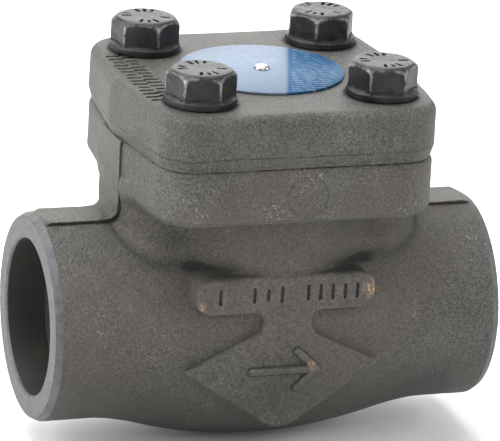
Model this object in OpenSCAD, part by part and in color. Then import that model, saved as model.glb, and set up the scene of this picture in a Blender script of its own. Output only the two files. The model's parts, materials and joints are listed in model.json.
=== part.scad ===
// Bolted-cover lift check valve of forged steel, with socket-weld ends.
// Built about the point where the pipe axis meets the piston axis, then moved so that the
// origin is the centre of the inlet socket's mouth. +X is the way of flow, +Z towards the cover.

/* [Pipe ends] */
// Distance between the two end faces
face_to_face = 145; // [140:1:160]
// Outer radius of the round ends
end_r = 32.7; // [31.5:0.1:34]
// Radius of the pipe socket
socket_r = 24.5; // [24.4:0.05:24.6]
// Depth of the pipe socket
socket_depth = 13; // [12.5:0.5:15]
// Radius of the port behind the socket
port_r = 15; // [13:0.5:15.5]
// Axial length of the bevel outside each end
end_bevel = 2.2; // [1:0.1:3]

/* [Body forging] */
// Radius of the round neck
neck_r = 34.5; // [33:0.5:36]
// Half width of the neck's side walls, along the pipe
neck_half_w = 48; // [46:0.5:49]
// Half depth of the neck's side walls, across the pipe
neck_half_d = 21.5; // [18:0.5:25]
// Depth of the belly's lowest point below the pipe axis
belly_depth = 41.1; // [40:0.1:42]
// Radius of the belly's arc, seen from the side
belly_arc_r = 139; // [130:1:150]
// Underside of the body's square flange
flange_bottom_z = 41.3; // [40:0.1:44]
// Top face of the body's square flange
flange_top_z = 58.9; // [57:0.1:60]
// Distance from the pipe axis to the face of the raised pads
pad_y = 35.2; // [34.6:0.1:36]

/* [Cover] */
// Thickness of the cover
cover_t = 17.3; // [16:0.1:20]
// Gap between the cover and the body's flange
joint_gap = 0.4; // [0.2:0.1:0.6]
// Half depth of the cover and flange, across the pipe
square_half_d = 45.5; // [44:0.5:47]
// Half width of the cover and flange at the forging's parting plane
square_half_w = 49; // [48:0.5:50]
// Half width of the cover and flange at their corners
corner_half_w = 45; // [44:0.5:46]
// Radius of the corners, seen from above
corner_r = 11; // [9:0.5:13]
// Radius that rounds the outer edges
edge_r = 3.2; // [2:0.2:4]

/* [Cover bolts] */
// Bolt spacing along the pipe
bolt_x = 58.5; // [57:0.5:60]
// Bolt spacing across the pipe
bolt_y = 57; // [56:0.5:58]
// Radius of the bolt's shank
bolt_r = 6; // [5.5:0.5:6]
// Width of the hexagon across its flats
hex_af = 19; // [18:0.5:19]
// Height of the whole head, collar included
head_h = 10.8; // [10:0.1:13]
// Radius of the collar under the hexagon
collar_r = 11.15; // [11:0.05:11.5]
// Thickness of the collar
collar_t = 2.8; // [2:0.2:3.2]
// Length of the thread in the body's flange
thread_l = 14; // [12:1:15]
// Turn of each bolt's hexagon, from tightening
bolt_turns = [35, 45, 3, 54];

/* [Piston and seat] */
// Radius of the piston
piston_r = 19.95; // [19.9:0.01:19.98]
// Radius of the bore that guides the piston
guide_r = 20; // [20:0.01:20]
// Height of the piston's skirt above the seat
piston_h = 38; // [36:1:38]
// Inner radius of the seat ring
seat_r = 13.5; // [12:0.5:14]
// Radius of the seat ring's threaded outside
seat_ring_r = 18; // [17:0.5:18.5]
// Height of the seat above the pipe axis
seat_z = 8; // [7:0.5:9]
// Mean radius of the spring's coil
spring_r = 8.2; // [7.5:0.1:9]
// Radius of the spring's wire
wire_r = 1.1; // [0.9:0.1:1.3]
// Turns of the spring
spring_turns = 8; // [6:1:10]

/* [Gasket and name plate] */
// Outer radius of the gasket's recess
recess_r = 27.05; // [26.5:0.05:27.5]
// Depth of the gasket's recess below the flange's top face
recess_depth = 5; // [4.5:0.5:6]
// Thickness of the closed gasket
gasket_t = 3; // [2.5:0.5:3.5]
// Radius of the name plate
plate_r = 25.7; // [24:0.1:26.5]
// Thickness of the name plate
plate_t = 0.8; // [0.5:0.1:1]

/* [Hidden] */

$fn = 96;
corner_steps = 8;
edge_steps = 4;
eps = 0.01;
fit_gap = 0.05;
half_l = face_to_face / 2;

// Heights of the faces above the pipe axis
cover_bottom_z = flange_top_z + joint_gap;
cover_top_z = cover_bottom_z + cover_t;
gasket_bottom_z = flange_top_z - recess_depth;
gasket_top_z = gasket_bottom_z + gasket_t;

// Body forging
land_half_w = 4.7;          // parting strip along the ends
land_neck_half_w = 8.5;     // parting strip up the neck
land_rise = 0.5;
neck_corner_r = 10;
neck_fillet_r = 6;
belly_tube_r = 31.5;        // a little under end_r, so that the belly leaves the ends at a clear line
belly_sweep = 60;

// Inside of the body
passage_r = 14;             // sloping passages between the ports and the seat
inlet_drop = 19.5;          // how far the inlet passage falls on its way under the seat
outlet_rise = 22;           // height at which the outlet passage leaves the chamber
outlet_start_x = 12;
port_l = 6;                 // from the socket's floor to the knee of the passage
port_overrun = 5;           // how far the port's drill ran on past that knee
chamber_r = 21.5;
chamber_top_z = 35;
chamber_floor_z = 5.5;
well_r = 14.5;              // the well under the seat
well_bottom_z = -35;
well_cone = 7;

// Seat ring
seat_ring_bottom_z = -7;
seat_collar_r = 21;
seat_cone = 1.5;
key_slot_w = 4;

// Piston
nose_h = 2.6;
piston_pocket_r = 14.6;
spring_seat_z = seat_z + 6;
gasket_inner_r = 20.6;
gasket_band = 1;
vent_r = 2;

// Cover
spring_pocket_r = 10.6;
spring_top_z = cover_bottom_z + 5;
cover_hole_r = bolt_r + 0.75;
rivet_r = 1.2;
rivet_l = 6;

// Bolts
thread_pitch = 1.75;
thread_depth = 0.8;
tap_depth = thread_l + 1;
bolt_tip_z = flange_top_z - thread_l;
bolt_places = [[-1, 1], [-1, -1], [1, 1], [1, -1]];

// Pads on the front: a bar over a diamond, joined by a waist
bar_half_l = 29;
bar_half_h = 6;
bar_z = 15.4;
waist_x = [-7, 9];
diamond_half_w = 32;
diamond_top_z = 7;
diamond_z = -8.5;
diamond_bottom_z = -28.5;
diamond_tip_half_w = 3;

function arc_points(centre, r, from, to, steps) =
    [for (i = [0:steps]) let (a = from + (to - from) * i / steps) centre + r * [cos(a), sin(a)]];

// A quarter of the drafted square outline, from the parting plane round one corner
function quarter_outline(inset) =
    concat([[square_half_w - inset, 0]], arc_points([corner_half_w - corner_r, square_half_d - corner_r],
        corner_r - inset, 0, 90, corner_steps));

function square_outline(inset) =
    let (q = quarter_outline(inset), last = len(q) - 1)
    concat(q, [for (i = [last:-1:1]) [-q[i].x, q[i].y]], -q, [for (i = [last:-1:1]) [q[i].x, -q[i].y]]);

// Faces of a solid lofted through rings of n points, each ring anticlockwise seen from ahead
function loft_faces(rings, n) = concat(
    [[for (k = [0:n - 1]) k]],
    [for (i = [0:rings - 2], k = [0:n - 1]) let (next = (k + 1) % n)
        [i * n + k, (i + 1) * n + k, (i + 1) * n + next, i * n + next]],
    [[for (k = [n - 1:-1:0]) (rings - 1) * n + k]]);

// A slab with the drafted square outline, whose edge is rounded below or above
module square_slab(z0, z1, round_bottom, round_top) {
    angles = [for (i = [0:edge_steps]) 90 * i / edge_steps];
    below = [for (a = angles) [edge_r * (1 - sin(a)), z0 + edge_r * (1 - cos(a))]];
    above = [for (a = angles) [edge_r * (1 - cos(a)), z1 - edge_r * (1 - sin(a))]];
    rings = concat(round_bottom ? below : [[0, z0]], round_top ? above : [[0, z1]]);
    n = len(square_outline(0));
    points = [for (ring = rings) for (p = square_outline(ring[0])) [p.x, p.y, ring[1]]];
    polyhedron(points, loft_faces(len(rings), n));
}

module rounded_rectangle(half_x, half_y, r) {
    square([2 * half_x, 2 * (half_y - r)], center = true);
    square([2 * (half_x - r), 2 * half_y], center = true);
    for (x = [-1, 1], y = [-1, 1]) {
        translate([x * (half_x - r), y * (half_y - r)]) circle(r);
    }
}

// Moves a part from the crossing of the two axes to the frame of the inlet socket's mouth
module placed() {
    translate([half_l, 0, 0]) children();
}

// A straight round passage between two points of the XZ plane
module passage(from, to, r) {
    run = to - from;
    translate([from.x, 0, from.y]) {
        rotate([0, atan2(run.x, run.y), 0]) cylinder(h = norm(run), r = r);
    }
}

// The two round ends, in one turned bar with bevelled rims
module ends() {
    bevel_in = 1.2;
    rotate([0, 90, 0]) {
        rotate_extrude() {
            polygon([[0, -half_l], [end_r - bevel_in, -half_l], [end_r, end_bevel - half_l],
                [end_r, half_l - end_bevel], [end_r - bevel_in, half_l], [0, half_l]]);
        }
    }
}

// The belly under the pipe axis, a tube bent to the belly's arc
module belly() {
    translate([0, 0, belly_arc_r - belly_depth]) {
        rotate([90, 90 + belly_sweep / 2, 0]) {
            rotate_extrude(angle = belly_sweep) translate([belly_arc_r - belly_tube_r, 0]) circle(belly_tube_r);
        }
    }
}

module neck() {
    cylinder(h = flange_bottom_z + edge_r, r = neck_r);
    linear_extrude(flange_bottom_z + edge_r) rounded_rectangle(neck_half_w, neck_half_d, neck_corner_r);
}

// The raised strip that follows the parting plane over the ends and up the neck
module parting_land() {
    land_top = end_r + land_rise;
    strip_half_l = half_l - end_bevel - 1;
    rotate([90, 0, 0]) {
        linear_extrude(2 * land_half_w, center = true) {
            square([2 * strip_half_l, 2 * land_top], center = true);
        }
        linear_extrude(2 * land_neck_half_w, center = true) {
            difference() {
                square_half = neck_half_w + neck_fillet_r;
                translate([-square_half, 0]) square([2 * square_half, land_top + neck_fillet_r]);
                for (side = [-1, 1]) {
                    translate([side * square_half, land_top + neck_fillet_r]) circle(neck_fillet_r);
                }
            }
        }
    }
}

// Outline of the front pads, seen from the front
module pad_outline() {
    translate([0, bar_z]) rounded_rectangle(bar_half_l, bar_half_h, bar_half_h - eps);
    translate([waist_x[0], diamond_z]) square([waist_x[1] - waist_x[0], bar_z - diamond_z]);
    polygon([[-diamond_half_w, diamond_z], [0, diamond_top_z], [diamond_half_w, diamond_z],
        [diamond_tip_half_w, diamond_bottom_z], [-diamond_tip_half_w, diamond_bottom_z]]);
}

module pads() {
    pad_depth = 18;
    translate([0, pad_depth - pad_y, 0]) {
        rotate([90, 0, 0]) linear_extrude(pad_depth) pad_outline();
    }
}

// Everything that is bored or forged out of the body
module body_cavity() {
    knee_x = half_l - socket_depth - port_l;
    for (side = [-1, 1]) {
        translate([side * half_l, 0, 0]) {
            rotate([0, -90 * side, 0]) {
                translate([0, 0, -eps]) cylinder(h = socket_depth + eps, r = socket_r);
                cylinder(h = socket_depth + port_l + port_overrun, r = port_r);
            }
        }
    }
    passage([-knee_x, 0], [0, -inlet_drop], passage_r);
    passage([outlet_start_x, outlet_rise], [knee_x, 0], passage_r);
    upright_bore();
    for (place = bolt_places) {
        translate([place.x * bolt_x / 2, place.y * bolt_y / 2, flange_top_z - tap_depth]) {
            cylinder(h = tap_depth + eps, r = bolt_r + fit_gap);
        }
    }
}

// The bore on the cover's axis: well, seat ring's thread, chamber, piston guide and gasket recess
module upright_bore() {
    ring_hole_r = seat_ring_r + fit_gap;
    ring_hole_z = seat_ring_bottom_z - fit_gap;
    rotate_extrude() {
        polygon([[0, well_bottom_z], [well_r - well_cone, well_bottom_z], [well_r, well_bottom_z + well_cone],
            [well_r, ring_hole_z], [ring_hole_r, ring_hole_z], [ring_hole_r, chamber_floor_z],
            [chamber_r, chamber_floor_z], [chamber_r, chamber_top_z], [guide_r, chamber_top_z],
            [guide_r, gasket_bottom_z], [recess_r, gasket_bottom_z], [recess_r, flange_top_z + 1],
            [0, flange_top_z + 1]]);
    }
}

module body() {
    color("#5c5954") placed() difference() {
        union() {
            ends();
            belly();
            neck();
            parting_land();
            pads();
            square_slab(flange_bottom_z, flange_top_z, true, false);
        }
        body_cavity();
    }
}

module seat_ring() {
    slot_h = 3;
    slot_l = 2;
    color("#a9abad") placed() difference() {
        union() {
            translate([0, 0, seat_ring_bottom_z]) cylinder(h = seat_z - seat_ring_bottom_z, r = seat_ring_r);
            translate([0, 0, chamber_floor_z]) cylinder(h = seat_z - chamber_floor_z, r = seat_collar_r);
        }
        translate([0, 0, seat_ring_bottom_z - 1]) cylinder(h = seat_z - seat_ring_bottom_z + 2, r = seat_r);
        translate([0, 0, seat_z - seat_cone]) cylinder(h = seat_cone + eps, r1 = seat_r, r2 = seat_r + seat_cone);
        for (turn = [0, 180]) {
            rotate([0, 0, turn]) translate([seat_collar_r - slot_l, -key_slot_w / 2, seat_z - slot_h]) {
                cube([2 * slot_l, key_slot_w, 2 * slot_h]);
            }
        }
    }
}

// A hollow piston that stands on the seat ring and runs up inside the body's bore
module piston() {
    rim = seat_cone - fit_gap;
    nose_r = seat_r - 1.2;
    nose_bevel = 0.6;
    skirt_r = piston_r - 1;
    skirt_h = 2;
    top_bevel = 1;
    vent_rise = 6;
    color("#b4b6b8") placed() difference() {
        translate([0, 0, seat_z]) rotate_extrude() {
            polygon([[0, -nose_h], [nose_r, -nose_h], [nose_r + nose_bevel, -nose_h + nose_bevel],
                [seat_r - fit_gap, -seat_cone], [seat_r + rim, 0], [skirt_r, 0], [skirt_r, skirt_h],
                [piston_r, skirt_h + piston_r - skirt_r], [piston_r, piston_h - top_bevel],
                [piston_r - top_bevel, piston_h], [0, piston_h]]);
        }
        translate([0, 0, spring_seat_z]) cylinder(h = piston_h, r = piston_pocket_r);
        translate([0, 0, spring_seat_z + vent_rise]) rotate([0, 90, 0]) cylinder(h = 2 * piston_r, r = vent_r);
    }
}

// Compression spring with closed, flattened ends
module return_spring() {
    sides = 8;
    steps_per_turn = 18;
    bottom = spring_seat_z + wire_r;
    top = spring_top_z - wire_r;
    dead_turns = 1;
    all_turns = spring_turns + 2 * dead_turns;
    steps = all_turns * steps_per_turn;
    closed_rise = 2 * wire_r + 0.1;
    open_rise = top - bottom - 2 * dead_turns * closed_rise;
    function height(turn) = turn < dead_turns ? closed_rise * turn
        : turn > all_turns - dead_turns ? top - bottom - closed_rise * (all_turns - turn)
        : closed_rise * dead_turns + open_rise * (turn - dead_turns) / spring_turns;
    function ring(i) = let (turn = i / steps_per_turn, a = 360 * turn)
        [for (k = [0:sides - 1]) let (b = 360 * k / sides, r = spring_r + wire_r * cos(b))
            [r * cos(a), r * sin(a), bottom + height(turn) - wire_r * sin(b)]];
    points = [for (i = [0:steps]) each ring(i)];
    color("#8f9296") placed() polyhedron(points, loft_faces(steps + 1, sides));
}

// The steel rings of the wound gasket
module gasket_winding() {
    color("#c4c6c8") placed() translate([0, 0, gasket_bottom_z]) {
        for (r = [gasket_inner_r, recess_r - fit_gap - gasket_band]) {
            difference() {
                cylinder(h = gasket_t, r = r + gasket_band);
                translate([0, 0, -1]) cylinder(h = gasket_t + 2, r = r);
            }
        }
    }
}

// The graphite between them
module gasket_filler() {
    color("#2b2b2d") placed() translate([0, 0, gasket_bottom_z]) difference() {
        cylinder(h = gasket_t, r = recess_r - fit_gap - gasket_band);
        translate([0, 0, -1]) cylinder(h = gasket_t + 2, r = gasket_inner_r + gasket_band);
    }
}

module cover() {
    color("#5f5c57") placed() difference() {
        union() {
            square_slab(cover_bottom_z, cover_top_z, false, true);
            translate([0, 0, gasket_top_z]) {
                cylinder(h = cover_bottom_z - gasket_top_z + 1, r = recess_r - 2 * fit_gap);
            }
        }
        translate([0, 0, gasket_top_z - 1]) cylinder(h = spring_top_z - gasket_top_z + 1, r = spring_pocket_r);
        for (place = bolt_places) {
            translate([place.x * bolt_x / 2, place.y * bolt_y / 2, gasket_top_z]) {
                cylinder(h = cover_t + 5, r = cover_hole_r);
            }
        }
        translate([0, 0, cover_top_z - rivet_l]) cylinder(h = rivet_l + 1, r = rivet_r + fit_gap);
    }
}

// One cover bolt with a hexagon, a collar and a cut thread
module cover_bolt(index) {
    place = bolt_places[index];
    chamfer = 1.1;
    collar_edge_h = 0.6;
    collar_edge_r = 1.4;
    corner_cut_r = hex_af / 2 / cos(30);
    shank_top_z = bolt_tip_z + thread_l + 2;
    turns = floor((thread_l + 2) / thread_pitch);
    thread = [for (i = [0:turns - 1]) let (z = bolt_tip_z + i * thread_pitch)
        each [[bolt_r - thread_depth, z], [bolt_r, z + 0.4 * thread_pitch], [bolt_r, z + 0.6 * thread_pitch]]];
    color("#35342f") placed() translate([place.x * bolt_x / 2, place.y * bolt_y / 2, 0]) {
        rotate_extrude() {
            polygon(concat([[0, bolt_tip_z]], thread, [[bolt_r - thread_depth, shank_top_z],
                [bolt_r, shank_top_z + thread_depth], [bolt_r, cover_top_z], [collar_r, cover_top_z],
                [collar_r, cover_top_z + collar_t - collar_edge_h],
                [collar_r - collar_edge_r, cover_top_z + collar_t],
                [0, cover_top_z + collar_t]]));
        }
        translate([0, 0, cover_top_z + collar_t - eps]) intersection() {
            h = head_h - collar_t;
            rotate([0, 0, bolt_turns[index]]) cylinder(h = h, r = corner_cut_r, $fn = 6);
            cylinder(h = h, r1 = corner_cut_r + h - chamfer, r2 = corner_cut_r - chamfer);
        }
    }
}

module cover_bolt_1() { cover_bolt(0); }
module cover_bolt_2() { cover_bolt(1); }
module cover_bolt_3() { cover_bolt(2); }
module cover_bolt_4() { cover_bolt(3); }

module name_plate() {
    color("#8fb4d6") placed() translate([0, 0, cover_top_z]) difference() {
        cylinder(h = plate_t, r = plate_r);
        translate([0, 0, -1]) cylinder(h = plate_t + 2, r = rivet_r + fit_gap);
    }
}

// A drive rivet with a low domed head
module name_plate_rivet() {
    head_r = 2.2;
    head_rise = 1.4;
    dome_r = 2.6;
    color("#c8c8c8") placed() translate([0, 0, cover_top_z + plate_t]) {
        translate([0, 0, -plate_t - rivet_l + 0.2]) cylinder(h = rivet_l + plate_t, r = rivet_r);
        intersection() {
            cylinder(h = 2 * head_rise, r = head_r);
            translate([0, 0, head_rise - dome_r]) sphere(dome_r);
        }
    }
}

body();
seat_ring();
piston();
return_spring();
gasket_winding();
gasket_filler();
cover();
cover_bolt_1();
cover_bolt_2();
cover_bolt_3();
cover_bolt_4();
name_plate();
name_plate_rivet();
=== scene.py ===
"""Looks of a forged-steel lift check valve with a square bolted cover and socket-weld ends.

Forged pieces are grown from distance fields. A function gives the signed distance, in millimetres, from any
point to the piece's skin, smooth unions give its fillets, and a surface net turns the field into a mesh.
Fields use the valve's own frame, with x along the pipe, z up the cover's axis and its origin where they meet.
"""
import json
import math

import bpy
import numpy as np
from mathutils import Matrix, Vector


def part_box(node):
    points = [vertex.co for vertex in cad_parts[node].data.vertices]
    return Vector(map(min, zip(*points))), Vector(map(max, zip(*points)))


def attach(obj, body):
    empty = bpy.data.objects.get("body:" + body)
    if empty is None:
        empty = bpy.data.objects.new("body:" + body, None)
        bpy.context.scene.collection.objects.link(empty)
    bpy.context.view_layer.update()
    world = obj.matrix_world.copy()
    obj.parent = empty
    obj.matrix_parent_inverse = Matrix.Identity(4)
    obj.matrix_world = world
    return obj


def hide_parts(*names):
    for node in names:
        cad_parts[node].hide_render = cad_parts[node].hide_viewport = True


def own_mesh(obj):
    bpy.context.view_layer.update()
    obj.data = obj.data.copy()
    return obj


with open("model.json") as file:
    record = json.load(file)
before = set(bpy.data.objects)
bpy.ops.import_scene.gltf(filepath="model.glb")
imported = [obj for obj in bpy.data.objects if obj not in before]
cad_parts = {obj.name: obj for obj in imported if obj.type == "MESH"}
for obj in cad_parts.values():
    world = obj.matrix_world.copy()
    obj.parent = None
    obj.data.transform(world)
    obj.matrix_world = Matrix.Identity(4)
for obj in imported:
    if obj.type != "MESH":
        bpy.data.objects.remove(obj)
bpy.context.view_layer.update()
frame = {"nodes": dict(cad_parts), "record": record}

MM = 0.001

# ---------------------------------------------------------------- sizes, in millimetres


def box_mm(node):
    """Low and high corner of a CAD node in millimetres, in the frame's own place."""
    low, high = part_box(node)
    return np.array(low) / MM, np.array(high) / MM


def heights_mm(node):
    """Bottom and top of a CAD node in millimetres."""
    low, high = box_mm(node)
    return low[2], high[2]


BODY_LOW, BODY_HIGH = box_mm("body")
COVER_LOW, COVER_HIGH = box_mm("cover")
PLATE_LOW, PLATE_HIGH = box_mm("name_plate")
SPRING_LOW, SPRING_HIGH = box_mm("return_spring")
SEAT_BOTTOM = heights_mm("seat_ring")[0]
GASKET_BOTTOM, GASKET_TOP = heights_mm("gasket_winding")
SOCKET = next(m["dims"] for m in frame["record"]["mounts"] if m["name"] == "inlet_socket")

# the pipe and its sockets
MID_X = (BODY_LOW[0] + BODY_HIGH[0]) / 2
SHIFT = np.array([MID_X, 0, 0])
HALF_L = (BODY_HIGH[0] - BODY_LOW[0]) / 2
END_R = 32.7
SOCKET_R = SOCKET["r_mm"]
SOCKET_DEPTH = SOCKET["length_mm"]

# the belly below the pipe: a tube of radius BELLY_TUBE_R that follows an arc
BELLY_DEPTH = -BODY_LOW[2]
BELLY_TUBE_R = 31.5
BELLY_ARC_R = 139

# the flange, the neck and the wings that join them to the pipe
FLANGE_TOP = BODY_HIGH[2]
FLANGE_BOTTOM = FLANGE_TOP - 17.6
NECK_INTO_FLANGE = 4
NECK_R = 34.5
WING_HALF_W, WING_HALF_D = 47, 21

# the lands are thin flats, LAND_RISE above the pipe and LAND_X out on the ends of the neck and the flange
LAND_RISE = 0.3
LAND_X = 48.1

# the raised pads on the front stand out to PAD_Y
PAD_Y = 35.2
BAR_Z = 15.4
ARROW_Z = -9.5

# the drafted square of the cover and the flange, and the round plate that lies on it
SQUARE_HALF_D = COVER_HIGH[1]
SQUARE_HALF_W = (COVER_HIGH[0] - COVER_LOW[0]) / 2
CORNER_HALF_W = SQUARE_HALF_W - 4
CORNER_R = 11
COVER_TOP, PLATE_TOP = heights_mm("name_plate")
PLATE_R = (PLATE_HIGH[0] - PLATE_LOW[0]) / 2
COVER_BOTTOM = FLANGE_TOP + 0.4
PARTING_Z = COVER_BOTTOM + 3.7

# the flow's way through, and the bores about the cover's axis
PORT_R = 15
PASSAGE_R = 14
WELL_R = 14.5
SEAT_RING_R = 18.05
CHAMBER_R = 21.5
GUIDE_R = 20.15
RECESS_R = 27.05

# the cover bolts, and how far each hexagon is turned, in degrees
BOLTS = ["cover_bolt_1", "cover_bolt_2", "cover_bolt_3", "cover_bolt_4"]
BOLT_TURNS = [35, 45, 3, 50]
BOLT_TIP, BOLT_TOP = heights_mm("cover_bolt_1")
COLLAR_R = 11.15
HEX_HALF = 9.5
THREAD_R = 6
TAPPED_R = 6.15
CLEARANCE_R = 6.75
THREAD_LENGTH = 16
THREAD_PITCH = 1.75


def bolt_centre(name):
    """A bolt's place from above, in the valve's own frame."""
    low, high = box_mm(name)
    return (low[0] + high[0]) / 2 - MID_X, (low[1] + high[1]) / 2


# ---------------------------------------------------------------- distance fields


def union(a, b, r):
    """Both solids, with a fillet of about radius r between them."""
    h = np.maximum(r - np.abs(a - b), 0)
    return np.minimum(a, b) - h * h * (0.25 / r)


def both(a, b, r):
    """What the two solids share, with its edge rounded by about r."""
    h = np.maximum(r - np.abs(a - b), 0)
    return np.maximum(a, b) + h * h * (0.25 / r)


def cut(a, b, r):
    """Solid a without solid b."""
    return both(a, -b, r)


def rounded_box(u, v, half_u, half_v, r):
    """A rectangle with corners of radius r."""
    du, dv = np.abs(u) - (half_u - r), np.abs(v) - (half_v - r)
    return np.hypot(np.maximum(du, 0), np.maximum(dv, 0)) + np.minimum(np.maximum(du, dv), 0) - r


def step_up(v, low, high):
    """0 below low, 1 above high, and smooth between them."""
    t = np.clip((v - low) / (high - low), 0, 1)
    return t * t * (3 - 2 * t)


def prism(outline, height, r):
    """A flat outline given thickness, its edges rounded by r. height is the distance beyond its end faces."""
    a, b = outline + r, height + r
    return np.hypot(np.maximum(a, 0), np.maximum(b, 0)) + np.minimum(np.maximum(a, b), 0) - r


def stroke(u, v, start, end, half_width):
    """A line with round ends."""
    du, dv = end[0] - start[0], end[1] - start[1]
    t = np.clip(((u - start[0]) * du + (v - start[1]) * dv) / (du * du + dv * dv), 0, 1)
    return np.hypot(u - start[0] - t * du, v - start[1] - t * dv) - half_width


def strokes(u, v, lines, half_width):
    """Several lines with round ends."""
    field = None
    for start, end in lines:
        d = stroke(u, v, start, end, half_width)
        field = d if field is None else np.minimum(field, d)
    return field


def square_outline(x, y):
    """The drafted square of the cover and the flange, seen from above."""
    corner_y = SQUARE_HALF_D - CORNER_R
    slope = (SQUARE_HALF_W - CORNER_HALF_W) / corner_y
    side = (np.abs(x) + np.abs(y) * slope - SQUARE_HALF_W) / math.hypot(1, slope) + CORNER_R
    front = np.abs(y) - corner_y
    round_part = np.hypot(np.maximum(side, 0), np.maximum(front, 0))
    return round_part + np.minimum(np.maximum(side, front), 0) - CORNER_R


def waves(x, y, z, size, seed):
    """Smooth unevenness between -1 and 1, with swells about size millimetres across."""
    rng = np.random.default_rng(seed)
    total = 0
    for _ in range(7):
        k = rng.normal(size=3)
        k *= rng.uniform(0.7, 1.4) * 2 * math.pi / size / np.linalg.norm(k)
        total = total + np.sin(k[0] * x + k[1] * y + k[2] * z + rng.uniform(0, 2 * math.pi))
    return total / 4


# ---------------------------------------------------------------- from field to mesh


def surface_net(values, axes):
    """Vertices and quads of the skin where values change sign, one vertex for each cell that it crosses."""
    inside = values < 0
    shape = [n - 1 for n in values.shape]

    def corner(grid, i, j, k):
        return grid[i:i + shape[0], j:j + shape[1], k:k + shape[2]]

    corners = [(i, j, k) for i in (0, 1) for j in (0, 1) for k in (0, 1)]
    count = sum(corner(inside, *c).astype(np.int8) for c in corners)
    crossed = (count > 0) & (count < 8)
    number = np.full(shape, -1, np.int32)
    number[crossed] = np.arange(int(crossed.sum()), dtype=np.int32)
    cell = np.argwhere(crossed)
    at = {c: values[cell[:, 0] + c[0], cell[:, 1] + c[1], cell[:, 2] + c[2]] for c in corners}
    place = np.zeros((len(cell), 3))
    hits = np.zeros(len(cell))
    for c in corners:
        for axis in range(3):
            if c[axis]:
                continue
            d = tuple(1 if a == axis else c[a] for a in range(3))
            changes = (at[c] < 0) != (at[d] < 0)
            t = np.where(changes, at[c] / np.where(changes, at[c] - at[d], 1), 0)
            for a in range(3):
                place[:, a] += np.where(changes, c[a] + (t if a == axis else 0), 0)
            hits += changes
    place /= hits[:, None]
    points = np.stack([axes[a][cell[:, a]] + place[:, a] * (axes[a][1] - axes[a][0]) for a in range(3)], 1)
    quads = []
    for axis in range(3):
        b, c = (axis + 1) % 3, (axis + 2) % 3
        low = np.take(inside, range(shape[axis]), axis)
        high = np.take(inside, range(1, shape[axis] + 1), axis)
        for flip, edge in ((False, low & ~high), (True, ~low & high)):
            e = np.argwhere(edge)
            e = e[(e[:, b] > 0) & (e[:, c] > 0) & (e[:, b] < shape[b]) & (e[:, c] < shape[c])]
            ring = []
            for step_b, step_c in ((-1, -1), (0, -1), (0, 0), (-1, 0)):
                n = e.copy()
                n[:, b] += step_b
                n[:, c] += step_c
                ring.append(number[n[:, 0], n[:, 1], n[:, 2]])
            quads.append(np.stack(ring[::-1] if flip else ring, 1))
    return points, np.concatenate(quads)


def sample(field, axes, step, block=4, batch=16000):
    """The field on a whole grid: every point in blocks near the skin, one value for each block elsewhere."""
    middles = [a[::block] + step * (block - 1) / 2 for a in axes]
    coarse = field(middles[0][:, None, None], middles[1][None, :, None], middles[2][None, None, :])
    near = np.argwhere(np.abs(coarse) < block * step * 1.1 + 0.5)
    values = np.repeat(np.repeat(np.repeat(coarse.astype(np.float32), block, 0), block, 1), block, 2)
    blocks = values.reshape(len(middles[0]), block, len(middles[1]), block, len(middles[2]), block)
    inner = np.arange(block)
    for first in range(0, len(near), batch):
        i, j, k = near[first:first + batch].T
        x = axes[0][i[:, None] * block + inner][:, :, None, None]
        y = axes[1][j[:, None] * block + inner][:, None, :, None]
        z = axes[2][k[:, None] * block + inner][:, None, None, :]
        blocks[i, :, j, :, k, :] = field(x, y, z)
    return values


def slope_of(field, p, h):
    """The field's gradient, and its curvature, at each point."""
    centre = field(p[:, 0], p[:, 1], p[:, 2])
    slope = np.zeros_like(p)
    bend = np.zeros(len(p))
    for a in range(3):
        step = np.zeros(3)
        step[a] = h
        plus, minus = field(*(p + step).T), field(*(p - step).T)
        slope[:, a] = (plus - minus) / (2 * h)
        bend += (plus + minus - 2 * centre) / (h * h)
    return centre, slope, bend


def settle(field, p, reach, rounds):
    """Moves the points onto the field's skin, none of them further than reach."""
    start = p.copy()
    for _ in range(rounds):
        value, slope, _ = slope_of(field, p, 0.05)
        move = slope * (value / np.maximum((slope * slope).sum(1), 0.2))[:, None]
        p = p - move
        drift = p - start
        length = np.linalg.norm(drift, axis=1)
        p = start + drift * np.minimum(1, reach / np.maximum(length, 1e-9))[:, None]
    return p


def mesh_object(name, points, faces):
    """A mesh object from points in metres."""
    mesh = bpy.data.meshes.new(name)
    mesh.from_pydata(points.tolist() if hasattr(points, "tolist") else points, [],
                     faces.tolist() if hasattr(faces, "tolist") else faces)
    obj = bpy.data.objects.new(name, mesh)
    bpy.context.scene.collection.objects.link(obj)
    return obj


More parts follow.
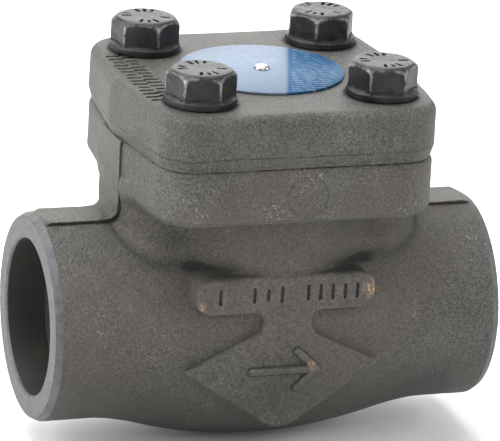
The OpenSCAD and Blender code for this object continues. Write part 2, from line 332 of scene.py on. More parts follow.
def grow(name, field, low, high, step, triangles, painted_shade=None):
    """A piece from its field: a surface net, thinned to a number of triangles, then set on the skin again.

    The mesh carries the skin's curvature as "bend", above 0 on edges and below 0 where it is concave.
    Where a shade function is given, the mesh carries the painted shade that it gives as "soot".
    """
    block = 4
    counts = [block * math.ceil((b - a + 5 * step) / step / block) for a, b in zip(low, high)]
    axes = [a - 2.3 * step + step * np.arange(n) for a, n in zip(low, counts)]
    points, quads = surface_net(sample(field, axes, step, block), axes)
    points = settle(field, points, step * 0.6, 2)
    raw = mesh_object(name, points, quads)
    thin = raw.modifiers.new("thin", "DECIMATE")
    thin.ratio = min(1, triangles / (2 * len(quads)))
    thin.use_collapse_triangulate = True
    bpy.context.view_layer.update()
    done = raw.evaluated_get(bpy.context.evaluated_depsgraph_get())
    mesh = bpy.data.meshes.new_from_object(done)
    raw_mesh = raw.data
    raw.modifiers.clear()
    raw.data = mesh
    bpy.data.meshes.remove(raw_mesh)
    mesh.name = name
    p = np.empty(len(mesh.vertices) * 3)
    mesh.vertices.foreach_get("co", p)
    p = settle(field, p.reshape(-1, 3), step * 0.4, 3)
    _, slope, _ = slope_of(field, p, 0.06)
    _, _, bend = slope_of(field, p, 0.45)
    normal = slope / np.maximum(np.linalg.norm(slope, axis=1), 1e-6)[:, None]
    placed = (p + SHIFT) * MM
    mesh.vertices.foreach_set("co", placed.astype(np.float32).ravel())
    mesh.attributes.new("bend", "FLOAT", "POINT").data.foreach_set("value", bend.astype(np.float32))
    if painted_shade:
        mesh.attributes.new("painted_shade", "FLOAT", "POINT").data.foreach_set("value", painted_shade(*p.T).astype(np.float32))
    mesh.shade_smooth()
    mesh.normals_split_custom_set_from_vertices(normal.tolist())
    mesh.update()
    return raw


# ---------------------------------------------------------------- the body


def pad_outline(x, z):
    """The raised pads on the front: a bar over a diamond, joined by a waist."""
    bar = rounded_box(x, z - BAR_Z, 29, 6, 5.9)
    waist = rounded_box(x - 1, z - 3, 8, 10, 0.5)
    side_x, side_z = 32, -8.5
    top = ((np.abs(x) - side_x) * 15.5 + (z - side_z) * 32) / math.hypot(15.5, 32)
    bottom = ((np.abs(x) - side_x) * 20 - (z - side_z) * 29) / math.hypot(20, 29)
    diamond = both(both(top, bottom, 0.8), -28.5 - z, 1.5)
    return union(union(diamond, waist, 3), bar, 3.5)


def tally_marks():
    """Stamped tally marks along the bar: one, three and five."""
    lines = []
    for x in (-21.5, -10.5, -6, -1.5, 7, 11, 15, 19, 23):
        tall = 2.1 if x != -6 else 1.5
        lines.append(((x, BAR_Z - tall), (x, BAR_Z + tall)))
    return lines


def flow_arrow():
    """A broad arrow in the way of flow."""
    tip = (11, ARROW_Z)
    return [((-10, ARROW_Z), tip), ((4.5, ARROW_Z + 6), tip), ((4.5, ARROW_Z - 6), tip)]


def pipe_and_belly(x, y, z):
    """The pipe from end to end, and the belly below it."""
    ring = np.hypot(x, z - (BELLY_ARC_R - BELLY_DEPTH)) - (BELLY_ARC_R - BELLY_TUBE_R)
    belly = both(np.hypot(ring, y) - BELLY_TUBE_R, z + 0 * x, 4)
    return union(np.hypot(y, z) - END_R + 0 * x, belly, 3)


def with_neck(skin, x, y, z):
    """Adds the wings, which widen a little on the way down, and the round barrel, which narrows."""
    barrel = np.hypot(x, y) - NECK_R + 0.13 * np.maximum(22 - z, 0)
    wings = rounded_box(x, y, WING_HALF_W, WING_HALF_D, 12) - 2.8 * step_up(-z, -33.5, -27)
    past_neck = z - FLANGE_BOTTOM - NECK_INTO_FLANGE
    skin = union(skin, both(wings, np.maximum(past_neck, -z), 0.5), 3.6)
    return union(skin, both(barrel, np.maximum(past_neck, 2 - z), 0.5), 3.5)


def with_flange(skin, x, y, z):
    """Adds the square flange, with a fine ring cut into its front."""
    height = np.maximum(z - FLANGE_TOP - 1, FLANGE_BOTTOM - z)
    flange = prism(np.maximum(square_outline(x, y) + 0.4, np.abs(x) - LAND_X), height + 0 * x, 3)
    skin = union(skin, flange, 4)
    ring_x, ring_z, ring_r, tool_r = 1.3, 50, 6.4, 0.36
    away = np.hypot(x - ring_x, z - ring_z) - ring_r
    ring = np.hypot(away, y + SQUARE_HALF_D - 0.15) - tool_r
    return cut(skin, ring, 0.2)


def with_lands(skin, x, y, z):
    """Adds the thin flats on the neck's two ends and along the top and bottom of the pipe."""
    side = union(np.abs(z) - END_R - LAND_RISE, np.maximum(np.abs(x) - LAND_X, -z), 7)
    half = 3.6 + 6.4 * step_up(z, 27, END_R + 5)
    land = both(np.maximum(side, np.abs(y) - half), skin - 1.2, 0.3)
    return union(skin, land, 0.35)


def with_pads(skin, x, y, z):
    """Adds the raised pads, the stamped tally and the raised arrow."""
    plate = prism(pad_outline(x, z) + 0 * y, np.maximum(-y - PAD_Y, y + 15), 1.2)
    skin = union(skin, plate, 1.5)
    tally = strokes(x, z, tally_marks(), 0.5) + 0 * y
    skin = cut(skin, prism(tally, np.maximum(-y - PAD_Y - 1, y + PAD_Y - 0.7), 0.1), 0.3)
    arrow = strokes(x, z, flow_arrow(), 1.15) + 0 * y
    return union(skin, prism(arrow, np.maximum(-y - PAD_Y - 1.1, y + PAD_Y - 1), 0.7), 0.5)


def body_forging(x, y, z):
    """The body's forged skin, with no bores, and its turned ends."""
    skin = with_neck(pipe_and_belly(x, y, z), x, y, z)
    skin = with_lands(with_flange(skin, x, y, z), x, y, z)
    skin = with_pads(skin, x, y, z)
    skin = skin + 0.09 * waves(x, y, z, 26, 1) + 0.035 * waves(x, y, z, 7, 2)
    skin = both(skin, z - FLANGE_TOP, 0.3)

    bevel_l, bevel_d = 2.2, 1.2
    bevel = (np.abs(x) - HALF_L + bevel_l) * bevel_d + (np.hypot(y, z) - END_R) * bevel_l
    bevel = bevel / math.hypot(bevel_l, bevel_d)
    bevel = np.where(np.abs(x) > HALF_L - 2 * bevel_l, bevel, -9)
    skin = both(skin, bevel, 0.15)
    return both(skin, np.abs(x) - HALF_L, 0.15)


def body_painted_shade(x, y, z):
    """Painted shade, from 0 to 1: in the neck's foot crease, over the bar, under the flange and towards the
    bottom.
    """
    tube = np.hypot(y, z) - END_R
    wings = rounded_box(x, y, WING_HALF_W + 2.4, WING_HALF_D + 2.4, 14)
    across, along = (wings - tube) / 0.8, (wings + tube) / 1.85
    foot = np.exp(-(across / 2.8) ** 2 - (along / 2.4) ** 2) * step_up(z, 12, 20)
    ledge = np.exp(-((z - 22.2) / 1.7) ** 2) * step_up(-y, 20, 24)
    ledge = ledge * step_up(np.abs(x), 10, 19) * step_up(-np.abs(x), -33, -28)
    under = np.exp(-((z - 39.5) / 3) ** 2) * step_up(np.abs(x), 30, 42) * step_up(np.abs(y), 19, 24)
    low = step_up(-z, 0, 24)
    return np.minimum(0.85 * foot + 0.9 * ledge + 0.75 * under + 0.4 * low, 1)


def passage(x, y, z, start, end, radius):
    """A straight round passage from start to end, which are (x, z) points on the middle plane."""
    run = math.hypot(end[0] - start[0], end[1] - start[1])
    ux, uz = (end[0] - start[0]) / run, (end[1] - start[1]) / run
    along = (x - start[0]) * ux + (z - start[1]) * uz
    across = (z - start[1]) * ux - (x - start[0]) * uz
    return np.maximum(np.hypot(across, y) - radius, np.maximum(-along, along - run))


def body_bores(x, y, z):
    """Everything that is cut out of the body."""
    pipe = np.hypot(y, z)
    depth = HALF_L - np.abs(x)
    socket = np.maximum(pipe - SOCKET_R, depth - SOCKET_DEPTH)
    lead = (pipe - SOCKET_R - 0.7 + depth) / math.sqrt(2)
    socket = np.minimum(socket, np.maximum(lead, depth - SOCKET_DEPTH))
    knee = HALF_L - SOCKET_DEPTH - 6
    port = np.maximum(pipe - PORT_R, knee - 5 - np.abs(x))
    holes = np.minimum(socket, port)
    holes = union(holes, passage(x, y, z, (-knee, 0), (0, -19.5), PASSAGE_R), 2)
    holes = union(holes, passage(x, y, z, (12, 22), (knee, 0), PASSAGE_R), 2)
    r = np.hypot(x, y)
    well = both(r - WELL_R, np.maximum(-35 - z, z - 6), 8)
    holes = union(holes, well, 2)
    above = FLANGE_TOP + 2
    for radius, low, high in ((SEAT_RING_R, SEAT_BOTTOM - 0.05, 9), (CHAMBER_R, 5.5, 35),
                              (GUIDE_R, 30, above), (RECESS_R, GASKET_BOTTOM, above)):
        holes = np.minimum(holes, np.maximum(r - radius, np.maximum(low - z, z - high)))
    for name in BOLTS:
        cx, cy = bolt_centre(name)
        tapped = np.hypot(x - cx, y - cy) - TAPPED_R
        holes = np.minimum(holes, np.maximum(tapped, BOLT_TIP - 1 - z))
    return holes


def body_field(x, y, z):
    """The finished body."""
    return cut(body_forging(x, y, z), body_bores(x, y, z), 0.3)


# ---------------------------------------------------------------- the cover


def cover_stamps():
    """Two rows of plain stamped bars between the left-hand bolts."""
    lines = []
    for row, x in enumerate((-41.5, -36.8)):
        for k in range(15):
            y = -24 + 3.3 * k + 1.2 * row
            reach = 1.7 if (k + row) % 4 else 1.0
            lines.append(((x - reach, y), (x + reach, y)))
    return lines


def cover_painted_shade(x, y, z):
    """Painted shade, from 0 to 1: a painted shadow round the feet of the bolts, and a darker stamped side."""
    away = np.min([np.hypot(x - cx, y - cy) for cx, cy in map(bolt_centre, BOLTS)], axis=0)
    return np.maximum(1 - step_up(away, 11.5, 12.9), 0.3 * step_up(-x, 26, 36)) * (z > COVER_TOP - 1)


def cover_forging(x, y, z):
    """The cover's forged skin: rounded top edges, and sides that draw in below a low parting line."""
    outline = square_outline(x, y)
    lower_draft = np.maximum(PARTING_Z - z, 0) * 0.30
    upper_draft = np.maximum(z - PARTING_Z, 0) * 0.02
    skin = prism(outline + upper_draft + 0 * z, z - COVER_TOP - 0.15 + 0 * x, 3.6)
    skin = both(skin, outline + lower_draft, 0.15)
    skin = skin + 0.09 * waves(x, y, z, 24, 3) + 0.03 * waves(x, y, z, 6, 4)
    stamps = strokes(x, y, cover_stamps(), 0.72) + 0 * z
    skin = cut(skin, np.maximum(stamps, COVER_TOP - 0.9 - z), 0.3)
    skin = both(skin, z - COVER_TOP + 0 * x, 0.6)
    foot = COVER_BOTTOM - 0.28 + 0.0025 * x + 0.06 * waves(x, y, 0, 9, 8)
    return both(skin, np.maximum(foot, FLANGE_TOP + 0.03) - z, 0.2)


def cover_field(x, y, z):
    """The finished cover, with its spigot, its spring pocket and the holes for the bolts and the rivet."""
    r = np.hypot(x, y)
    spigot = np.maximum(r - RECESS_R + 0.1, np.maximum(GASKET_TOP - z, z - COVER_BOTTOM - 1))
    skin = np.minimum(cover_forging(x, y, z), spigot)
    holes = np.maximum(r - 10.6, z - SPRING_HIGH[2])
    for name in BOLTS:
        cx, cy = bolt_centre(name)
        holes = np.minimum(holes, np.hypot(x - cx, y - cy) - CLEARANCE_R + 0 * z)
    holes = np.minimum(holes, np.maximum(r - 1.3, COVER_TOP - 7 - z))
    return cut(skin, holes, 0.3)


# ---------------------------------------------------------------- the cover bolts


def head_marks(turn):
    """Short radial strokes stamped on the hexagon, in groups of three, two, three and one."""
    lines = []
    for k, angle in enumerate((20, 42, 64, 110, 132, 205, 227, 249, 300)):
        a = math.radians(angle + turn)
        inner, outer = (4.9, 7.2) if k % 3 else (5.5, 6.9)
        lines.append(((inner * math.cos(a), inner * math.sin(a)), (outer * math.cos(a), outer * math.sin(a))))
    return lines


def bolt_head(x, y, z, turn, top):
    """The hexagon, with its corners taken off by a cone, a shallow dish and the stamped marks."""
    r = np.hypot(x, y)
    hexagon = None
    for k in range(3):
        a = math.radians(turn + 30 + 60 * k)
        face = np.abs(x * math.cos(a) + y * math.sin(a)) - HEX_HALF
        hexagon = face if hexagon is None else both(hexagon, face, 0.5)
    cone = ((z - top) + (r - 8.8) * 0.8) / math.hypot(1, 0.8)
    head = both(both(hexagon + 0 * z, cone, 0.6), z - top + 0 * x, 0.5)
    head = np.maximum(head, COVER_TOP + 1 - z)
    dish = np.hypot(r, z - top - 40) - 40.12
    head = cut(head, dish, 0.3)
    stamped = np.maximum(strokes(x, y, head_marks(turn), 0.42) + 0 * z, top - 0.55 - z)
    return cut(head, stamped, 0.15)


def bolt_field(x, y, z, turn, tip, top):
    """A bolt with a sloped collar and a stamped hexagon, about its own axis, with z as in the valve."""
    r = np.hypot(x, y)
    collar = prism(r - COLLAR_R, np.maximum(COVER_TOP - z, z - COVER_TOP - 2.9) + 0 * x, 0.4)
    collar = both(collar, ((z - COVER_TOP - 2.1) + (r - COLLAR_R) * 0.5) / math.hypot(1, 0.5), 0.3)
    skin = union(collar, bolt_head(x, y, z, turn, top), 0.6)
    thread = 0.4 * np.abs(((z - tip) / THREAD_PITCH) % 1 * 2 - 1)
    shank = r - THREAD_R + np.where(z < tip + THREAD_LENGTH, thread, 0)
    shank = both(shank, np.maximum(tip - z, z - COVER_TOP - 1) + 0 * x, 0.5)
    return union(skin, shank, 0.3) + 0.06 * waves(x, y, z, 4, 5 + int(turn))


def grow_bolt(name, turn):
    """The bolt that stands where the CAD node of that name does."""
    low, high = box_mm(name)
    centre = (low + high) / 2

    def placed(x, y, z):
        return bolt_field(x - centre[0] + MID_X, y - centre[1], z, turn, low[2], high[2])

    return grow(name + "_forged", placed, low - SHIFT, high - SHIFT, step=0.3, triangles=26000)


# ---------------------------------------------------------------- turned and wound pieces


def lathe(name, profile, steps):
    """A solid of revolution about the cover's axis, from (radius, height) points in millimetres."""
    points, rings, faces = [], [], []
    for radius, height in profile:
        if radius < 1e-6:
            points.append((MID_X, 0, height))
            rings.append([len(points) - 1] * steps)
            continue
        rings.append(list(range(len(points), len(points) + steps)))
        for k in range(steps):
            a = 2 * math.pi * k / steps
            points.append((MID_X + radius * math.cos(a), radius * math.sin(a), height))
    for lower, upper in zip(rings, rings[1:]):
        for k in range(steps):
            n = (k + 1) % steps
            corners = [lower[k], lower[n], upper[n], upper[k]]
            faces.append(list(dict.fromkeys(corners)))
    obj = mesh_object(name, np.array(points) * MM, [f for f in faces if len(f) > 2])
    obj.data.shade_smooth()
    return obj


def wind_spring():
    """A round-wire compression spring with closed ends."""
    wire, turns, closed, around, per_turn = 1.1, 10, 1, 16, 40
    mean_r = (SPRING_HIGH[0] - SPRING_LOW[0]) / 2 - wire
    low, high = SPRING_LOW[2] + wire, SPRING_HIGH[2] - wire
    points, faces = [], []
    count = turns * per_turn
    pitch = 2 * wire + 0.1
    for i in range(count + 1):
        t = i / per_turn
        if t < closed:
            height = low + pitch * t
        elif t > turns - closed:
            height = high - pitch * (turns - t)
        else:
            height = low + pitch + (high - low - 2 * pitch) * (t - closed) / (turns - 2 * closed)
        a = 2 * math.pi * t
        for k in range(around):
            b = 2 * math.pi * k / around
            r = mean_r + wire * math.cos(b)
            points.append((MID_X + r * math.cos(a), r * math.sin(a), height - wire * math.sin(b)))
    for i in range(count):
        for k in range(around):
            n = (k + 1) % around
            faces.append([i * around + k, (i + 1) * around + k, (i + 1) * around + n, i * around + n])
    faces.append(list(range(around)))
    faces.append([count * around + k for k in range(around - 1, -1, -1)])
    obj = mesh_object("return_spring_wire", np.array(points) * MM, faces)
    obj.data.shade_smooth()
    return obj


# ---------------------------------------------------------------- materials


class Nodes:
    """A short way to write a material's node tree."""

    def __init__(self, name):
        self.material = bpy.data.materials.new(name)
        self.material.use_nodes = True
        self.tree = self.material.node_tree
        self.tree.nodes.clear()
        self.shader = self.add("ShaderNodeBsdfPrincipled")
        out = self.add("ShaderNodeOutputMaterial")
        self.tree.links.new(self.shader.outputs[0], out.inputs["Surface"])
        self.coord = self.add("ShaderNodeTexCoord").outputs["Object"]

    def add(self, kind, **settings):
        """A new node with its settings."""
        node = self.tree.nodes.new(kind)
        for key, value in settings.items():
            setattr(node, key, value)
        return node

    def feed(self, socket, value):
        """Links a socket to the input, or sets a plain value on it."""
        if isinstance(value, bpy.types.NodeSocket):
            self.tree.links.new(value, socket)
        else:
            socket.default_value = value

    def noise(self, scale, detail=2.0, roughness=0.5, vector=None):
        """Noise whose scale is in cells for each metre, unless a vector of its own is given."""
        node = self.add("ShaderNodeTexNoise")
        self.feed(node.inputs["Vector"], vector or self.coord)
        node.inputs["Scale"].default_value = scale
        node.inputs["Detail"].default_value = detail
        node.inputs["Roughness"].default_value = roughness
        return node.outputs["Fac"]

    def math(self, operation, a, b=0.0):
        node = self.add("ShaderNodeMath", operation=operation)
        self.feed(node.inputs[0], a)
        self.feed(node.inputs[1], b)
        return node.outputs[0]

    def times(self, a, b):
        return self.math("MULTIPLY", a, b)

    def ramp(self, value, low, high, low_out=0.0, high_out=1.0, kind="LINEAR"):
        """value, from low to high, mapped to the two outs and held there."""
        node = self.add("ShaderNodeMapRange", interpolation_type=kind)
        ends = {"Value": value, "From Min": low, "From Max": high, "To Min": low_out, "To Max": high_out}
        for key, end in ends.items():
            self.feed(node.inputs[key], end)
        return node.outputs["Result"]

    def mix(self, amount, a, b):
        """Colour a where the amount is 0, and colour b where it is 1."""
        node = self.add("ShaderNodeMix", data_type="RGBA")
        self.feed(node.inputs["Factor"], amount)
        colour_a, colour_b, result = node.inputs[6], node.inputs[7], node.outputs[2]
        for socket, value in ((colour_a, a), (colour_b, b)):
            self.feed(socket, (*value, 1) if isinstance(value, tuple) else value)
        return result

    def axis(self, letter):
        """X, Y or Z in metres, in the frame's own place."""
        node = self.add("ShaderNodeSeparateXYZ")
        self.feed(node.inputs[0], self.coord)
        return node.outputs[letter]

    def bump(self, height, distance, strength):
        """A normal from a height between 0 and 1, where 1 stands a distance in metres above 0."""
        node = self.add("ShaderNodeBump")
        self.feed(node.inputs["Height"], height)
        node.inputs["Distance"].default_value = distance
        node.inputs["Strength"].default_value = strength
        return node.outputs[0]

    def attribute(self, name):
        """A number that the mesh carries."""
        return self.add("ShaderNodeAttribute", attribute_name=name).outputs["Fac"]

    def set(self, **sockets):
        """Sets the shader's sockets, whose names have _ for a space, and gives the finished material."""
        for key, value in sockets.items():
            self.feed(self.shader.inputs[key.replace("_", " ")], value)
        return self.material


def scaled(tone, factor):
    """A tone made darker or lighter."""
    return tuple(c * factor for c in tone)


def near_spots(n, spots, core=0.4):
    """1 in the core of each spot and 0 past its radius. A spot is (x, y, z, radius) in valve millimetres."""
    total = 0.0
    for x, y, z, radius in spots:
        offset = n.add("ShaderNodeVectorMath", operation="DISTANCE")
        n.feed(offset.inputs[0], n.coord)
        offset.inputs[1].default_value = ((MID_X + x) * MM, y * MM, z * MM)
        spot = n.ramp(offset.outputs["Value"], radius * MM, core * radius * MM)
        total = n.math("MAXIMUM", total, spot)
    return total


def grained(n, tone, fine):
    """Coarse grain in a dark and a light tone, with warmer patches."""
    patch = n.noise(45, 4, 0.6)
    wide = n.noise(14, 2, 0.5)
    shade = n.math("ADD", n.times(fine, 0.8), n.times(patch, 0.2))
    colour = n.mix(n.ramp(shade, 0.41, 0.59), scaled(tone, 0.36), scaled(tone, 1.84))
    warm = tuple(c * f for c, f in zip(tone, (1.30, 1.12, 0.90)))
    return n.mix(n.times(n.ramp(wide, 0.42, 0.62), 0.35), colour, warm)


def with_wear(n, colour, chipped, coppery):
    """Adds rubbed edges, light specks, most of them in the chipped spots, and coppery stains."""
    rubbed = n.times(n.ramp(n.attribute("bend"), 0.4, 1.6), n.ramp(n.noise(420, 4, 0.8), 0.5, 0.66))
    colour = n.mix(n.times(rubbed, 0.55), colour, (0.26, 0.25, 0.23))
    scattered = n.ramp(n.noise(70, 2, 0.6), 0.58, 0.76)
    ragged = n.times(near_spots(n, chipped, 0.2), n.ramp(n.noise(170, 3, 0.7), 0.40, 0.52))
    cluster = n.math("MAXIMUM", scattered, ragged)
    speck = n.times(n.ramp(n.noise(1250, 2, 0.65), 0.58, 0.66), cluster)
    colour = n.mix(n.times(speck, 0.75), colour, (0.33, 0.32, 0.30))
    copper = n.times(near_spots(n, coppery), n.ramp(n.noise(900, 3, 0.7), 0.46, 0.56))
    return n.mix(n.times(copper, 0.8), colour, (0.42, 0.27, 0.15))


def with_seam(n, colour, height):
    """Adds a fine, broken parting line round the piece, at a height in millimetres."""
    drift = n.times(n.math("SUBTRACT", n.noise(60, 2), 0.5), 1.2 * MM)
    off = n.math("ABSOLUTE", n.math("SUBTRACT", n.math("ADD", n.axis("Z"), drift), height * MM))
    broken = n.ramp(n.noise(130, 3, 0.7), 0.36, 0.48)
    seam = n.times(n.ramp(off, 0.24 * MM, 0.08 * MM), broken)
    return n.mix(seam, colour, (0.006, 0.006, 0.006))


def land_edge(n, x_out, y, z):
    """1 on the painted shade along the edges of the neck's end flats, as wide as with_lands makes them."""
    half = n.ramp(z, 27 * MM, (END_R + 5) * MM, 3.6 * MM, 10 * MM, "SMOOTHSTEP")
    beside = n.math("ABSOLUTE", n.math("SUBTRACT", n.math("ABSOLUTE", y), half))
    on_neck = n.times(n.math("GREATER_THAN", z, 33 * MM), n.math("GREATER_THAN", x_out, 46 * MM))
    return n.times(n.ramp(beside, 0.28 * MM, 0.1 * MM), on_neck)


def bored_steel(n, x_out):
    """Dark turned steel inside the pipe, with rings and a little rust."""
    along = n.add("ShaderNodeCombineXYZ")
    n.feed(along.inputs[0], n.times(x_out, 2600))
    rings = n.ramp(n.noise(1.0, 3, 0.6, along.outputs[0]), 0.35, 0.65)
    rust = n.times(n.ramp(n.noise(330, 3, 0.7), 0.6, 0.66), n.ramp(n.noise(40, 2), 0.55, 0.62))
    inner = n.mix(rings, (0.018, 0.018, 0.016), (0.033, 0.033, 0.029))
    return n.mix(n.times(rust, 0.6), inner, (0.10, 0.045, 0.02))


def with_turned_ends(n, colour):
    """Adds the machined end faces and bores. Gives the colour, and 1 where the steel is turned."""
    x_out = n.math("ABSOLUTE", n.math("SUBTRACT", n.axis("X"), MID_X * MM))
    y, z = n.axis("Y"), n.axis("Z")
    r = n.math("SQRT", n.math("ADD", n.times(y, y), n.times(z, z)))
    # painted shade: a near-black line along the edges of the flats on the neck's ends
    colour = n.mix(n.times(land_edge(n, x_out, y, z), 0.8), colour, (0.008, 0.008, 0.008))
    face = n.math("GREATER_THAN", x_out, (HALF_L - 2.25) * MM)
    mottle = n.ramp(n.noise(260, 4, 0.65), 0.35, 0.65)
    colour = n.mix(face, colour, n.mix(mottle, (0.050, 0.053, 0.055), (0.086, 0.090, 0.093)))
    bored = n.math("LESS_THAN", r, (SOCKET_R + 0.15) * MM)
    colour = n.mix(bored, colour, bored_steel(n, x_out))
    return colour, n.math("MAXIMUM", face, bored)


def forged_steel(name, tone, chipped, coppery=(), seam_z=None, turned_ends=False):
    """Shot-blasted forging, with near-black painted shade where the mesh is concave and where it carries
    painted shade.

    chipped and coppery are lists of spots, and seam_z is the height of a parting line, if there is one.
    """
    n = Nodes(name)
    grain = n.noise(3000, 2, 0.6)
    fine = n.noise(1350, 3, 0.75)
    colour = with_wear(n, grained(n, tone, fine), chipped, coppery)
    # painted shade: near black where the skin is concave and where the mesh carries painted shade
    hollow_shade = n.times(n.ramp(n.attribute("bend"), -0.25, -1.4), 0.75)
    hollow_shade = n.math("MAXIMUM", hollow_shade, n.attribute("painted_shade"))
    colour = n.mix(n.times(hollow_shade, 0.85), colour, (0.008, 0.0078, 0.0072))
    if seam_z:
        colour = with_seam(n, colour, seam_z)
    height = n.math("ADD", n.times(grain, 0.5), fine)
    if turned_ends:
        colour, turned = with_turned_ends(n, colour)
        height = n.mix(turned, height, (0.75, 0.75, 0.75))
    rough = n.ramp(fine, 0.3, 0.7, 0.46, 0.64)
    rough = n.math("MAXIMUM", rough, n.times(hollow_shade, 0.95))
    return n.set(Base_Color=colour, Roughness=rough, Normal=n.bump(height, 0.6 * MM, 0.9), Metallic=0.05)


def turned_steel():
    """Bright turned steel, a little mottled."""
    n = Nodes("turned_steel")
    light = (0.52, 0.53, 0.54)
    colour = n.mix(n.ramp(n.noise(60, 3, 0.6), 0.35, 0.65), scaled(light, 0.85), light)
    fine = n.noise(300, 2, 0.5)
    rough = n.ramp(fine, 0.3, 0.7, 0.24, 0.38)
    return n.set(Base_Color=colour, Roughness=rough, Normal=n.bump(fine, 0.1 * MM, 0.3), Metallic=0.9)


def bolt_steel():
    """Black oxide, with light metal at the worn edges between the collar's rim and the head's top."""
    n = Nodes("black_oxide")
    fine = n.noise(1100, 3, 0.6)
    patch = n.noise(120, 3, 0.6)
    colour = n.mix(n.ramp(patch, 0.38, 0.62), (0.007, 0.007, 0.0075), (0.024, 0.023, 0.022))
    bend = n.attribute("bend")
    height = n.axis("Z")
    above_rim = n.ramp(height, (COVER_TOP + 2.2) * MM, (COVER_TOP + 2.9) * MM)
    below_top = n.ramp(height, (BOLT_TOP - 0.5) * MM, (BOLT_TOP - 0.8) * MM)
    worn = n.times(n.ramp(bend, 0.4, 1.2), n.ramp(n.noise(260, 4, 0.8), 0.40, 0.54))
    worn = n.times(worn, n.times(above_rim, below_top))
    colour = n.mix(n.times(worn, 0.7), colour, (0.38, 0.37, 0.35))
    # painted shade: near black where the bolt is concave, under the collar and in the stamped marks
    hollow_shade = n.ramp(bend, -0.3, -1.2)
    colour = n.mix(hollow_shade, colour, (0.006, 0.006, 0.006))
    rough = n.ramp(fine, 0.3, 0.7, 0.34, 0.50)
    rough = n.math("MAXIMUM", rough, n.times(hollow_shade, 0.95))
    return n.set(Base_Color=colour, Roughness=rough, Normal=n.bump(fine, 0.2 * MM, 0.6), Metallic=0.2,
                 Specular_IOR_Level=0.35)


def broken_rules(n, x, y):
    """1 on rows of dashes that run along x, with dashes of another length on each row."""
    row_gap = 2 * MM
    row = n.math("PINGPONG", y, row_gap / 2)
    rule = n.math("LESS_THAN", row, 0.32 * MM)
    dash = n.add("ShaderNodeCombineXYZ")
    n.feed(dash.inputs[0], x)
    n.feed(dash.inputs[1], n.times(n.math("SNAP", y, row_gap), 40.0))
    return n.times(rule, n.math("GREATER_THAN", n.noise(620, 1, 0.5, dash.outputs[0]), 0.5))


def plate_print():
    """A satin plate: pale blue, with deep blue on its right, fine diagonals and rows of broken rules."""
    n = Nodes("blue_print")
    x = n.math("SUBTRACT", n.axis("X"), MID_X * MM)
    y = n.axis("Y")
    diagonals = n.math("PINGPONG", n.math("ADD", x, y), 1.8 * MM)
    fine = n.ramp(diagonals, 0.4 * MM, 1.4 * MM)
    pale = n.mix(fine, (0.125, 0.170, 0.235), (0.155, 0.200, 0.265))
    deep = n.mix(fine, (0.010, 0.065, 0.155), (0.016, 0.082, 0.180))
    slanted = n.math("SUBTRACT", x, n.times(y, 0.346))
    colour = n.mix(n.ramp(slanted, 7.8 * MM, 9 * MM), pale, deep)
    margin = n.times(n.math("GREATER_THAN", slanted, 10 * MM), n.math("LESS_THAN", x, 21.5 * MM))
    ink = n.times(broken_rules(n, x, y), margin)
    colour = n.mix(n.times(ink, 0.75), colour, (0.22, 0.25, 0.28))
    rough = n.ramp(n.noise(500, 2), 0.3, 0.7, 0.48, 0.58)
    return n.set(Base_Color=colour, Roughness=rough, Normal=n.bump(n.noise(700, 2), 0.04 * MM, 0.4),
                 Metallic=0.0, Specular_IOR_Level=0.2)


def plain(name, tone, roughness, metallic, grain):
    """A simple finish with a fine grain and a slight change of tone."""
    n = Nodes(name)
    fine = n.noise(grain, 3, 0.6)
    colour = n.mix(n.ramp(fine, 0.35, 0.65), scaled(tone, 0.8), tone)
    rough = n.ramp(fine, 0.3, 0.7, roughness - 0.05, roughness + 0.08)
    return n.set(Base_Color=colour, Roughness=rough, Normal=n.bump(fine, 0.05 * MM, 0.4), Metallic=metallic)


def dress(obj, material, body, slot, *nodes):
    """Gives a piece its material and its body, and hides the CAD nodes that it stands for. The slot, its
    finish, is not used.
    """
    obj.data.materials.clear()
    obj.data.materials.append(material)
    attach(obj, body)
    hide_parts(*nodes)


CHIPPED = [(-36, -44, 44, 17), (-10, -45, 44, 10), (1, -45, 56, 8), (-18, -35, -19, 12), (0, -35, -28, 9),
           (-55, -31, 9, 9), (-46, -26, -8, 6), (66, -22, 22, 10)]
COPPERY = [(28, -35, 16, 4), (-28, -35, 12, 2.5), (9.5, -36, -8, 2.2)]
COVER_CHIPPED = [(14, -45, 70, 7)]

# ---------------------------------------------------------------- the forged pieces

# the body's mesh carries painted shade, which its material paints near black
body = grow("body_forged", body_field, BODY_LOW - SHIFT, BODY_HIGH - SHIFT,
            step=0.4, triangles=195000, painted_shade=body_painted_shade)
body_steel = forged_steel("blasted_forging", (0.059, 0.0565, 0.0505), CHIPPED, COPPERY, turned_ends=True)
dress(body, body_steel, "housing", "forged_steel", "body")

# the cover's mesh carries painted shade, which its material paints near black
cover = grow("cover_forged", cover_field, COVER_LOW - SHIFT, COVER_HIGH - SHIFT,
             step=0.34, triangles=120000, painted_shade=cover_painted_shade)
cover_steel = forged_steel("blasted_cover", (0.057, 0.0555, 0.051), COVER_CHIPPED, seam_z=PARTING_Z)
dress(cover, cover_steel, "housing", "cover_steel", "cover")

black_oxide = bolt_steel()
for bolt_name, bolt_turn in zip(BOLTS, BOLT_TURNS):
    dress(grow_bolt(bolt_name, bolt_turn), black_oxide, "housing", "bolt_steel", bolt_name)

# ---------------------------------------------------------------- the plate, its rivet and the spring


def plate_profile():
    """The name plate's section: a thin disc with a hole for the rivet and a broken edge."""
    hole_r, edge = 1.25, 0.1
    return [(hole_r, COVER_TOP + 0.02), (PLATE_R - edge, COVER_TOP + 0.02), (PLATE_R, COVER_TOP + 0.12),
            (PLATE_R, PLATE_TOP - 0.12), (PLATE_R - edge, PLATE_TOP), (hole_r, PLATE_TOP)]


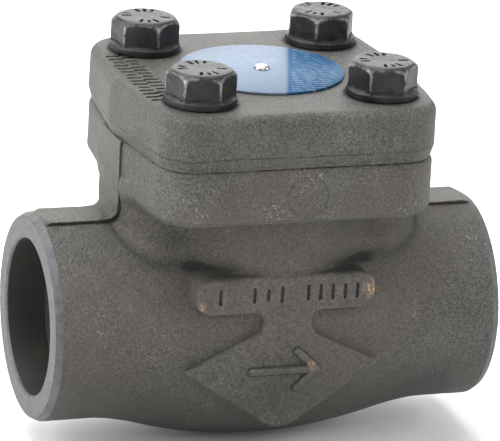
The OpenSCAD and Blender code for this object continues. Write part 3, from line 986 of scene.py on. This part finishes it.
def rivet_profile():
    """The drive rivet's section: a plain shank under a domed head."""
    shank_r, bottom, head_r, dome_h = 1.1, COVER_TOP - 5, 2.5, 1.2
    dome = [(head_r * math.cos(a), PLATE_TOP + 0.15 + dome_h * math.sin(a))
            for a in np.linspace(0, math.pi / 2, 10)]
    shank = [(0, bottom), (shank_r, bottom), (shank_r, PLATE_TOP), (head_r, PLATE_TOP)]
    return shank + dome[:-1] + [(0, dome[-1][1])]


plate = lathe("name_plate_disc", plate_profile(), steps=160)
dress(plate, plate_print(), "housing", "name_plate", "name_plate")

rivet = lathe("drive_rivet", rivet_profile(), steps=48)
bright = plain("bright_rivet", (0.45, 0.45, 0.44), roughness=0.22, metallic=0.9, grain=900)
dress(rivet, bright, "housing", "rivet", "name_plate_rivet")

spring = wind_spring()
wire_steel = plain("drawn_wire", (0.42, 0.43, 0.45), roughness=0.32, metallic=0.9, grain=500)
dress(spring, wire_steel, "housing", "spring_steel", "return_spring")
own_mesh(spring)

# ---------------------------------------------------------------- CAD pieces that keep their own mesh

machined = turned_steel()
strip = plain("rolled_strip", (0.6, 0.6, 0.6), roughness=0.35, metallic=0.9, grain=700)
graphite = plain("pressed_graphite", (0.03, 0.03, 0.032), roughness=0.6, metallic=0.1, grain=900)
cad_looks = {"seat_ring": machined, "piston": machined, "gasket_winding": strip, "gasket_filler": graphite}
for cad_name, cad_look in cad_looks.items():
    frame["nodes"][cad_name].data.materials.clear()
    frame["nodes"][cad_name].data.materials.append(cad_look)

# ---------------------------------------------------------------- camera, floor and light


CENTRE = Vector((MID_X * MM, 0, 0))


def add_camera(azimuth, elevation, roll, distance, beside, above):
    """The photo's camera, aimed at a point beside and above the valve's middle.

    Azimuth 0 looks along +Y, roll turns the picture anticlockwise, and lengths are in metres.
    """
    a, e, turn = math.radians(azimuth), math.radians(elevation), math.radians(roll)
    back = Vector((math.sin(a) * math.cos(e), -math.cos(a) * math.cos(e), math.sin(e)))
    right = Vector((math.cos(a), math.sin(a), 0))
    up = back.cross(right)
    x_axis = right * math.cos(turn) + up * math.sin(turn)
    y_axis = up * math.cos(turn) - right * math.sin(turn)
    place = CENTRE + right * beside + up * above + back * distance
    data = bpy.data.cameras.new("camera")
    data.sensor_width = 36
    data.lens = 321.6
    data.clip_start, data.clip_end = 0.05, 50
    camera = bpy.data.objects.new("camera", data)
    bpy.context.scene.collection.objects.link(camera)
    bpy.context.scene.camera = camera
    turned = Matrix((x_axis, y_axis, back)).transposed().to_4x4()
    camera.matrix_world = Matrix.Translation(place) @ turned


def backdrop():
    """A wide pale floor under the valve."""
    half, height = 8.0, BODY_LOW[2] * MM
    corners = [(u * half, v * half, height) for u, v in ((-1, -1), (1, -1), (1, 1), (-1, 1))]
    floor = mesh_object("floor", corners, [[0, 1, 2, 3]])
    n = Nodes("pale_floor")
    tone = n.mix(n.ramp(n.noise(3, 2), 0.3, 0.7), (0.80, 0.80, 0.80), (0.82, 0.82, 0.82))
    floor.data.materials.append(n.set(Base_Color=tone, Roughness=0.8))


def softbox(name, place, size, watts):
    """A square soft light aimed at the valve. place is seen from the valve's middle."""
    data = bpy.data.lights.new(name, "AREA")
    data.energy, data.size = watts, size
    lamp = bpy.data.objects.new(name, data)
    bpy.context.scene.collection.objects.link(lamp)
    lamp.location = CENTRE + Vector(place)
    aim = CENTRE + Vector((0, 0, 0.02)) - lamp.location
    lamp.rotation_euler = aim.to_track_quat("-Z", "Y").to_euler()


def fill_light(strength):
    """Even white light from all round."""
    world = bpy.data.worlds.new("studio")
    world.use_nodes = True
    background = world.node_tree.nodes["Background"]
    background.inputs["Color"].default_value = (1, 1, 1, 1)
    background.inputs["Strength"].default_value = strength
    bpy.context.scene.world = world


add_camera(azimuth=-19.64, elevation=18.51, roll=3.30, distance=1.4097, beside=-0.00092, above=0.02607)
backdrop()
softbox("top", (-0.1, 0.25, 0.9), size=0.9, watts=13.5)
softbox("back", (0.35, 1.15, 0.50), size=1.0, watts=8)
softbox("left", (-0.95, 0.1, 0.45), size=0.7, watts=10.5)
softbox("right", (0.9, -0.3, 0.5), size=0.5, watts=4)
softbox("front", (0.1, -1.3, 0.75), size=0.8, watts=5.4)
fill_light(0.55)
bpy.context.scene.view_settings.view_transform = "Standard"
